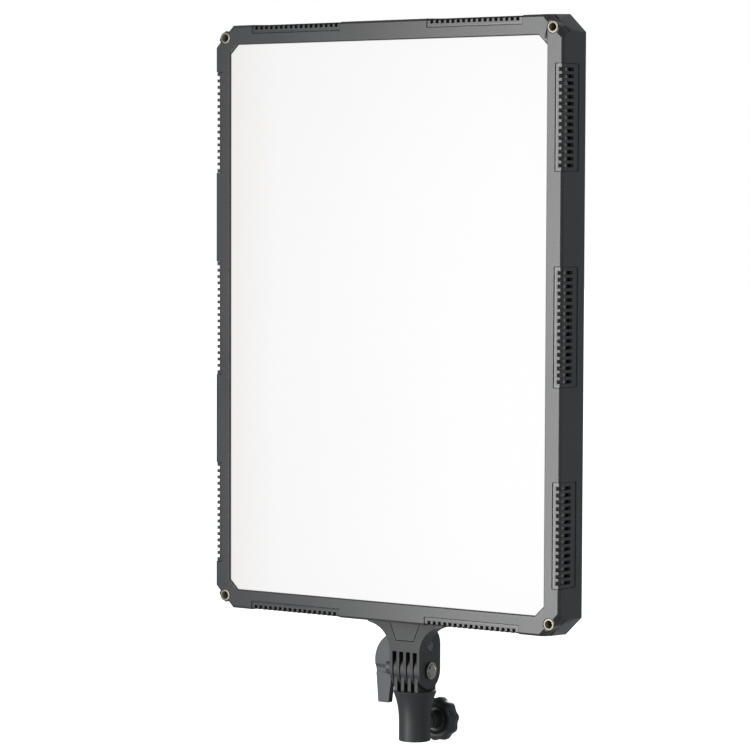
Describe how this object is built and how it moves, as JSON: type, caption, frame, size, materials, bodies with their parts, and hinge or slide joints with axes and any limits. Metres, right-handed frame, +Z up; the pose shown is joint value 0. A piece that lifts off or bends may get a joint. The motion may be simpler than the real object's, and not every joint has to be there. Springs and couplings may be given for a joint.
{
  "type": "led panel light",
  "caption": "Rectangular LED panel light with wrap-round vents, opal diffuser and corner inserts, on a lever-locked tilt bracket with a stand spigot socket.",
  "frame": {"origin": "centre of the mouth of the stand spigot socket, on the socket's axis", "axes": "+Z up along the socket's axis, the light faces -Y, +X to the right seen from the front"},
  "size_m": [0.448, 0.1197, 0.7862],
  "materials": {
    "casing_plastic": "fine moulded texture, mid grey",
    "cover_plastic": "fine moulded texture, near black",
    "opal_sheet": "opal acrylic, lit from behind",
    "white_plastic": "white moulded",
    "lamp_board": "white solder mask on aluminium",
    "tray_sheet": "mill finish sheet",
    "sink_aluminium": "extruded, plain",
    "circuit_board": "green circuit board",
    "insert_brass": "turned, bright",
    "screw_steel": "zinc plated",
    "window": "clear window over a dark display",
    "control_plastic": "black moulded",
    "cast_metal": "grey powder coat on die casting",
    "bolt_chrome": "polished",
    "lever_plastic": "moulded grey",
    "knob_plastic": "moulded dark grey"
  },
  "bodies": {
    "stand_receiver": {"stand_receiver": "cast_metal", "lock_bush": "insert_brass"},
    "lamp": {"front_frame": "casing_plastic", "vent_grille_left_upper": "casing_plastic", "vent_grille_left_middle": "casing_plastic", "vent_grille_left_lower": "casing_plastic", "vent_grille_bottom_left": "casing_plastic", "vent_grille_bottom_right": "casing_plastic", "vent_grille_right_upper": "casing_plastic", "vent_grille_right_middle": "casing_plastic", "vent_grille_right_lower": "casing_plastic", "vent_grille_top_left": "casing_plastic", "vent_grille_top_right": "casing_plastic", "rear_cover": "cover_plastic", "diffuser": "opal_sheet", "reflector_frame": "white_plastic", "led_board": "lamp_board", "led_tray": "tray_sheet", "heat_sink_left": "sink_aluminium", "heat_sink_right": "sink_aluminium", "power_board": "circuit_board", "control_board": "circuit_board", "corner_insert_1": "insert_brass", "corner_insert_2": "insert_brass", "corner_insert_3": "insert_brass", "corner_insert_4": "insert_brass", "cover_screw_1": "screw_steel", "cover_screw_2": "screw_steel", "cover_screw_3": "screw_steel", "cover_screw_4": "screw_steel", "cover_screw_5": "screw_steel", "cover_screw_6": "screw_steel", "cover_screw_7": "screw_steel", "cover_screw_8": "screw_steel", "wedge_screw_1": "screw_steel", "wedge_screw_2": "screw_steel", "release_spring": "screw_steel", "lever_washer": "screw_steel", "backing_plate": "screw_steel", "display_window": "window", "switch_housing": "control_plastic", "mains_inlet": "control_plastic", "tilt_bracket": "cast_metal", "lock_wedge": "cast_metal", "tilt_bolt": "bolt_chrome"},
    "lock_pad": {"thrust_pad": "insert_brass"},
    "lock_knob": {"lock_knob": "knob_plastic", "lock_screw": "screw_steel"},
    "tilt_lever": {"wing_lever": "lever_plastic", "lever_nut": "insert_brass"},
    "release_button": {"release_button": "cast_metal"},
    "brightness_dial": {"brightness_dial": "control_plastic", "brightness_shaft": "screw_steel"},
    "colour_dial": {"colour_dial": "control_plastic", "colour_shaft": "screw_steel"},
    "menu_button": {"menu_button": "control_plastic"},
    "mode_button": {"mode_button": "control_plastic"},
    "power_level_button": {"power_level_button": "control_plastic"},
    "power_rocker": {"power_rocker": "control_plastic"}
  },
  "joints": [
    {"name": "tilt", "type": "hinge", "parent": "stand_receiver", "child": "lamp", "pos_m": [0, 0, 0.0779], "axis": [1, 0, 0], "range_deg": [-90, 90]},
    {"name": "tilt_lever_turn", "type": "hinge", "parent": "lamp", "child": "tilt_lever", "pos_m": [-0.03, 0, 0.0779], "axis": [1, 0, 0], "range_deg": [0, 180]},
    {"name": "release_press", "type": "slide", "parent": "lamp", "child": "release_button", "axis": [-1, 0, 0], "range_m": [0, 0.0025], "stiffness_N_per_m": 1200, "springref_m": -0.001, "deforming": ["release_spring"]},
    {"name": "lock_pad_travel", "type": "slide", "parent": "stand_receiver", "child": "lock_pad", "axis": [0, -1, 0], "range_m": [0, 0.0025]},
    {"name": "lock_knob_turn", "type": "hinge", "parent": "lock_pad", "child": "lock_knob", "pos_m": [0, 0.045, 0.0176], "axis": [0, -1, 0], "range_deg": [0, 720]},
    {"name": "brightness_turn", "type": "hinge", "parent": "lamp", "child": "brightness_dial", "pos_m": [0.07, 0.0139, 0.4952], "axis": [0, 1, 0], "continuous": true},
    {"name": "colour_turn", "type": "hinge", "parent": "lamp", "child": "colour_dial", "pos_m": [-0.07, 0.0139, 0.4952], "axis": [0, 1, 0], "continuous": true},
    {"name": "power_rock", "type": "hinge", "parent": "lamp", "child": "power_rocker", "pos_m": [0.034, -0.0061, 0.2809], "axis": [0, -1, 0], "range_deg": [0, 16]},
    {"name": "menu_press", "type": "slide", "parent": "lamp", "child": "menu_button", "axis": [0, -1, 0], "range_m": [0, 0.001], "stiffness_N_per_m": 500, "springref_m": -0.0006},
    {"name": "mode_press", "type": "slide", "parent": "lamp", "child": "mode_button", "axis": [0, -1, 0], "range_m": [0, 0.001], "stiffness_N_per_m": 500, "springref_m": -0.0006},
    {"name": "power_level_press", "type": "slide", "parent": "lamp", "child": "power_level_button", "axis": [0, -1, 0], "range_m": [0, 0.001], "stiffness_N_per_m": 500, "springref_m": -0.0006}
  ],
  "couplings": [
    {"joint": "lock_pad_travel", "follows": "lock_knob_turn", "m_per_rad": 0.00019894}
  ]
}
